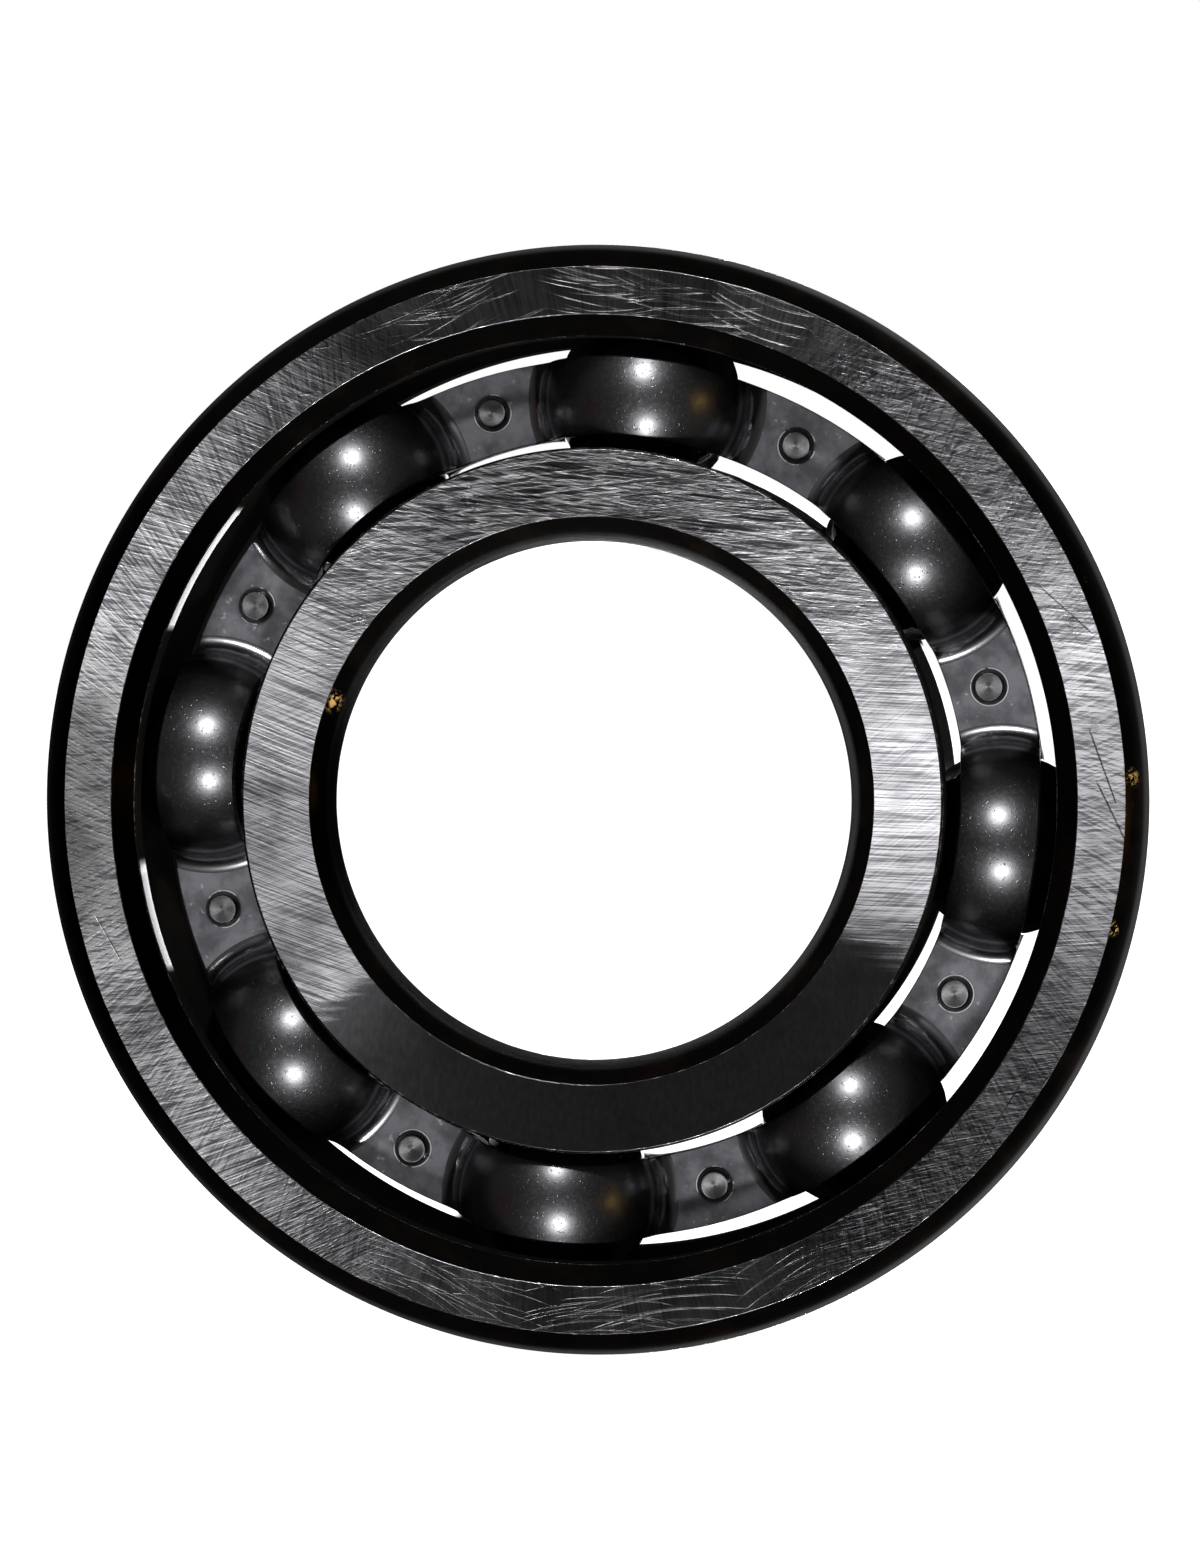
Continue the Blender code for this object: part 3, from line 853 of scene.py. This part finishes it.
def oxide_and_painted_shade_steel(name, wiped):
    """Lands black from hardening and oil, raceways painted black as shade, and both bare in the wiped spans.
    """
    # Black with no specular reflection: oxide on the lands, painted shade on the raceways.
    material, tree, shader = new_material(name, (0.012, 0.011, 0.010), 0.35, metallic=0.0)
    shader.inputs["Specular IOR Level"].default_value = 0.0
    position = object_position(tree)
    depth = separated(tree, position)["Y"]
    add_bump(tree, shader, noise(tree, combined(tree, Y=depth), scale=6000.0), 0.0000030)
    outward = outward_direction(tree, position)
    bare = 0.0
    for angle, reach, near, far in wiped:
        ends = (math.cos(math.radians(span)) for span in (reach, reach - WIPED_FADE))
        within = ramp(tree, facing(tree, outward, angle), *ends)
        across = calc(tree, "ABSOLUTE", calc(tree, "SUBTRACT", depth, (near + far) / 2.0))
        half = (far - near) / 2.0
        between = ramp(tree, across, half, half - WIPED_MARGIN)
        bare = calc(tree, "MAXIMUM", bare, calc(tree, "MULTIPLY", within, between))
    tint = noise(tree, position, scale=150.0, detail=4.0)
    color = toned(tree, tint, 0.4, 0.75, (0.010, 0.0095, 0.009), (0.016, 0.014, 0.0125))
    feed(shader, {
        "Base Color": toned(tree, bare, 0.5, 0.9, color, BARE_COLOR),
        "Metallic": ramp(tree, bare, 0.0, 0.5),
        "Roughness": ramp(tree, bare, 0.0, 1.0, 0.35, 0.24),
    })
    return material


def pressed_pocket_steel():
    """Domes of the cage: dark, smooth sheet with a few pits, and draw marks round the ball near the bends."""
    material, tree, shader = new_material("pressed_pocket", (0.30, 0.30, 0.315), 0.30)
    position = object_position(tree)
    distance = vector_calc(tree, "LENGTH", pitch_position(tree, position, 0.0))
    near_bend = ramp(tree, distance, 0.80 * POCKET_RADIUS, POCKET_RADIUS)
    on_bend = ramp(tree, distance, POCKET_RADIUS + BEND_START, POCKET_RADIUS + BEND_END)
    peel = noise(tree, position, scale=2300.0, detail=1.0)
    pits = ramp(tree, noise(tree, position, scale=1300.0, detail=1.0), 0.76, 0.80)
    sparkles = ramp(tree, noise(tree, position, scale=2700.0, detail=0.0), 0.70, 0.80)
    draws = noise(tree, combined(tree, X=distance), scale=1700.0, detail=3.0)
    bent = calc(tree, "MULTIPLY", draws, near_bend)
    height = weighted_sum(tree, peel, (bent, 0.7), (pits, -4.0), (sparkles, 3.0))
    height = calc(tree, "MULTIPLY", height, ramp(tree, on_bend, 0.0, 1.0, 1.0, 0.15))
    add_bump(tree, shader, height, 0.0000040)
    cloud = noise(tree, position, scale=120.0, detail=1.0)
    color = toned(tree, cloud, 0.3, 0.7, (0.23, 0.23, 0.242), (0.29, 0.29, 0.303))
    color = mixed_color(tree, calc(tree, "MULTIPLY", pits, 0.85), color, (0.03, 0.03, 0.03))
    drawn = calc(tree, "MULTIPLY", ramp(tree, draws, 0.66, 0.46), near_bend)
    color = mixed_color(tree, drawn, color, (0.055, 0.055, 0.058))
    color = mixed_color(tree, on_bend, color, (0.50, 0.50, 0.52))
    rough = ramp(tree, noise(tree, position, scale=1900.0), 0.40, 0.72, 0.29, 0.34)
    feed(shader, {"Base Color": color, "Roughness": blend(tree, on_bend, rough, 0.24)})
    return material


def pressed_web_steel():
    """Cage flats between the pockets: matte and blotchy from the press, with painted shade and glint round
    rivets.
    """
    material, tree, shader = new_material("pressed_web", (0.40, 0.40, 0.42), 0.52, metallic=0.6)
    position = object_position(tree)
    grain = noise(tree, position, scale=3200.0, detail=3.0, roughness=0.65)
    scratched = noise(tree, vector_calc(tree, "MULTIPLY", position, (3.0, 1.0, 22.0)), scale=150.0)
    height = calc(tree, "MULTIPLY_ADD", ramp(tree, scratched, 0.62, 0.70), -0.3, grain)
    add_bump(tree, shader, height, 0.0000060)
    cloud = noise(tree, position, scale=210.0, detail=5.0, roughness=0.65)
    color = toned(tree, cloud, 0.34, 0.66, (0.13, 0.13, 0.144), (0.27, 0.27, 0.297))
    spots = ramp(tree, noise(tree, position, scale=900.0, detail=3.0), 0.66, 0.74)
    color = mixed_color(tree, calc(tree, "MULTIPLY", spots, 0.5), color, (0.75, 0.74, 0.76))
    # Painted shade: a dark ring on the web round each rivet's head.
    beside_rivet = vector_calc(tree, "LENGTH", pitch_position(tree, position, 0.5))
    color = toned(tree, beside_rivet, *PAINTED_SHADE_RING, color, (0.10, 0.10, 0.105))
    # Painted glint: a broken bright ring just outside each rivet's head.
    off_ring = calc(tree, "ABSOLUTE", calc(tree, "SUBTRACT", beside_rivet, PAINTED_GLINT_RADIUS))
    broken = ramp(tree, cloud, 0.46, 0.52)
    painted_glint = calc(tree, "MULTIPLY", ramp(tree, off_ring, *PAINTED_GLINT_EDGES), broken)
    color = mixed_color(tree, painted_glint, color, (0.85, 0.85, 0.87))
    feed(shader, {"Base Color": color, "Roughness": ramp(tree, cloud, 0.3, 0.75, 0.58, 0.46)})
    return material


def sheared_edge_steel():
    """Cut edges of the cage sheet: torn across their thickness."""
    material, tree, shader = new_material("sheared_edge", (0.34, 0.34, 0.35), 0.38)
    along = vector_calc(tree, "MULTIPLY", object_position(tree), (1.0, 0.12, 1.0))
    tears = noise(tree, along, scale=3000.0, detail=3.0)
    add_bump(tree, shader, tears, 0.000010)
    color = toned(tree, tears, 0.35, 0.65, (0.26, 0.26, 0.27), (0.40, 0.40, 0.41))
    feed(shader, {"Base Color": color, "Roughness": ramp(tree, tears, 0.3, 0.7, 0.28, 0.50)})
    return material


def rivet_top_steel():
    """Struck rivet ends with concentric tool marks."""
    material, tree, shader = new_material("rivet_top", (0.42, 0.42, 0.43), 0.36, anisotropy=0.5)
    position = object_position(tree)
    rings = noise(tree, combined(tree, X=axis_distance(tree, position)), scale=4200.0, detail=1.0)
    grain = noise(tree, position, scale=4000.0)
    add_bump(tree, shader, calc(tree, "MULTIPLY_ADD", rings, 2.0, grain), 0.0000060)
    color = toned(tree, grain, 0.3, 0.7, (0.34, 0.34, 0.35), (0.46, 0.46, 0.47))
    feed(shader, {"Base Color": color, "Tangent": around_tangent(tree, position)})
    return material


def rivet_cone_steel():
    """Dark flanks of the rivet heads."""
    material, tree, shader = new_material("rivet_cone", (0.22, 0.22, 0.225), 0.26)
    grain = noise(tree, object_position(tree), scale=2400.0, detail=3.0)
    add_bump(tree, shader, grain, 0.0000050)
    feed(shader, {"Base Color": toned(tree, grain, 0.3, 0.7, (0.17, 0.17, 0.175), (0.26, 0.26, 0.265))})
    return material


def lapped_ball_steel():
    """Lapped chrome-steel balls with the faintest haze of wear."""
    material, tree, shader = new_material("lapped_ball", (0.15, 0.15, 0.155), 0.06)
    position = object_position(tree)
    haze = noise(tree, position, scale=420.0, detail=4.0, roughness=0.6)
    add_bump(tree, shader, noise(tree, position, scale=2500.0), 0.0000006)
    color = toned(tree, haze, 0.3, 0.7, (0.12, 0.12, 0.125), (0.18, 0.18, 0.185))
    feed(shader, {"Base Color": color, "Roughness": ramp(tree, haze, 0.35, 0.75, 0.05, 0.13)})
    return material


# ---------------------------------------- the object

def build_rings():
    """Both rings. A ring's lands and raceway share one finish."""
    edge = ground_cylinder_steel("broken_edge", (0.24, 0.24, 0.25), 0.22, nicked=True)
    seat = ground_cylinder_steel("ground_seat", (0.56, 0.56, 0.58), 0.16)
    outer_corner = turned_dark_steel("outer_ring_corner", OUTER_STAINS, OUTER_WORN, OUTER_CORNER_PAINTED_LIGHT)
    inner_corner = turned_dark_steel("inner_ring_corner", INNER_STAINS, INNER_WORN, INNER_CORNER_PAINTED_LIGHT)
    outer_dark = oxide_and_painted_shade_steel("outer_ring_inside", OUTER_WIPED_SPANS)
    inner_dark = oxide_and_painted_shade_steel("inner_ring_outside", INNER_WIPED_SPANS)
    for node_name, outline, face, corner, dark in (
        ("outer_ring", outer_ring_outline(), outer_face_steel(), outer_corner, outer_dark),
        ("inner_ring", inner_ring_outline(), inner_face_steel(), inner_corner, inner_dark),
    ):
        # The dark finish is oxide on the lands and painted shade on the raceways.
        finishes = {"edge": edge, "seat": seat, "face": face, "corner": corner, "land": dark, "raceway": dark}
        mesh = turned_mesh(f"{node_name}_ground", outline, RING_SEGMENTS, finishes)
        place(mesh.name, mesh, node_name, "ring_steel", [node_name])


def build_cage():
    finishes = (pressed_pocket_steel(), pressed_web_steel(), sheared_edge_steel())
    cutter = rivet_hole_cutter()
    for node_name, side in (("cage_front", -1.0), ("cage_rear", 1.0)):
        mesh = drilled(cage_mesh(f"{node_name}_pressing", side, *finishes), cutter)
        mesh.name = f"{node_name}_pressing"
        place(mesh.name, mesh, "cage", "cage_steel", [node_name])
    bpy.data.objects.remove(cutter)


def build_rivets():
    finishes = {"top": rivet_top_steel(), "cone": rivet_cone_steel()}
    mesh = turned_mesh("struck_rivet", rivet_outline(), RIVET_SEGMENTS, finishes, closed=False)
    for index, node_name in enumerate(RIVET_NODES):
        middle = middle_of(node_name)
        place(f"struck_{node_name}", mesh, "cage", "rivet_steel", [node_name], middle, index * TURN_STEP)


def build_balls():
    finishes = {"ball": lapped_ball_steel()}
    mesh = turned_mesh("lapped_ball", ball_outline(), BALL_SEGMENTS, finishes, closed=False)
    for index, node_name in enumerate(BALL_NODES):
        middle = middle_of(node_name)
        place(f"lapped_{node_name}", mesh, node_name, "ball_steel", [node_name], middle, index * TURN_STEP)


# ---------------------------------------- floor, light and camera

def build_floor():
    """Pale floor under the outer ring's lowest point, wide enough to fill every view."""
    shape = bmesh.new()
    bmesh.ops.create_grid(shape, x_segments=1, y_segments=1, size=FLOOR_REACH)
    mesh = bpy.data.meshes.new("floor")
    shape.to_mesh(mesh)
    shape.free()
    floor = bpy.data.objects.new("floor", mesh)
    floor.location = (0.0, 0.0, -OUTSIDE_RADIUS)
    floor.visible_glossy = False
    floor.visible_shadow = False
    bpy.context.scene.collection.objects.link(floor)
    material, _, shader = new_material("pale_floor", (0.6, 0.6, 0.6), 0.9, metallic=0.0)
    shader.inputs["Specular IOR Level"].default_value = 0.0
    shader.inputs["Emission Color"].default_value = (1.0, 1.0, 1.0, 1.0)
    shader.inputs["Emission Strength"].default_value = FLOOR_GLOW
    mesh.materials.append(material)


def direction(azimuth, elevation):
    """Unit vector from the bearing's centre at an azimuth and an elevation in degrees."""
    across, up = math.radians(azimuth), math.radians(elevation)
    return Vector((math.sin(across) * math.cos(up), -math.cos(across) * math.cos(up), math.sin(up)))


def build_world():
    """White where the camera sees it, dim in front of the bearing and pale behind it in reflections."""
    world = bpy.data.worlds.new("studio")
    bpy.context.scene.world = world
    world.use_nodes = True
    tree = world.node_tree
    rays = node(tree, "ShaderNodeLightPath").outputs
    ray = node(tree, "ShaderNodeTexCoord").outputs["Generated"]
    parts = separated(tree, ray)
    side = calc(tree, "MULTIPLY_ADD", parts["X"], 0.35, parts["Y"])
    level = ramp(tree, side, 0.15, 0.70, FRONT_LEVEL, SIDE_LEVEL)
    level = calc(tree, "ADD", level, ramp(tree, parts["Y"], 0.90, 0.96, 0.0, BACK_LEVEL))
    color = node(tree, "ShaderNodeCombineColor", {0: level, 1: level, 2: level}).outputs[0]
    for azimuth, elevation, reach, tint in GLOWS:
        nearness = vector_calc(tree, "DOT_PRODUCT", ray, direction(azimuth, elevation))
        ends = (math.cos(math.radians(span)) for span in (reach, reach / 3.0))
        color = mixed_color(tree, ramp(tree, nearness, *ends), color, tint)
    white = (1.0, 1.0, 1.0, 1.0)
    studio, ambient, seen = (
        node(tree, "ShaderNodeBackground", {"Color": light, "Strength": strength}).outputs[0]
        for light, strength in ((color, 1.0), (white, AMBIENT_LEVEL), (white, WHITE_LEVEL))
    )
    lit = node(tree, "ShaderNodeMixShader", {0: rays["Is Diffuse Ray"], 1: studio, 2: ambient}).outputs[0]
    whole = node(tree, "ShaderNodeMixShader", {0: rays["Is Camera Ray"], 1: lit, 2: seen}).outputs[0]
    tree.links.new(whole, tree.nodes["World Output"].inputs["Surface"])


def build_lights():
    """Hangs each lamp facing the bearing's centre."""
    for name, (azimuth, elevation, size, power) in LAMPS.items():
        data = bpy.data.lights.new(name, "AREA")
        data.shape = "RECTANGLE"
        data.size, data.size_y = size
        data.energy = power
        light = bpy.data.objects.new(name, data)
        toward = direction(azimuth, elevation)
        light.location = toward * LAMP_DISTANCE
        light.rotation_euler = toward.to_track_quat("Z", "Y").to_euler()
        light.visible_camera = False
        bpy.context.scene.collection.objects.link(light)


def build_camera():
    data = bpy.data.cameras.new("camera")
    data.lens = CAMERA_LENS
    data.sensor_width = CAMERA_SENSOR
    data.shift_x, data.shift_y = CAMERA_SHIFT
    data.clip_start = 0.01
    camera = bpy.data.objects.new("camera", data)
    toward = direction(CAMERA_AZIMUTH, CAMERA_ELEVATION)
    camera.location = toward * CAMERA_DISTANCE
    camera.rotation_euler = toward.to_track_quat("Z", "Y").to_euler()
    bpy.context.scene.collection.objects.link(camera)
    bpy.context.scene.camera = camera


build_rings()
build_cage()
build_rivets()
build_balls()
build_floor()
build_world()
build_lights()
build_camera()
bpy.context.scene.view_settings.view_transform = "Standard"
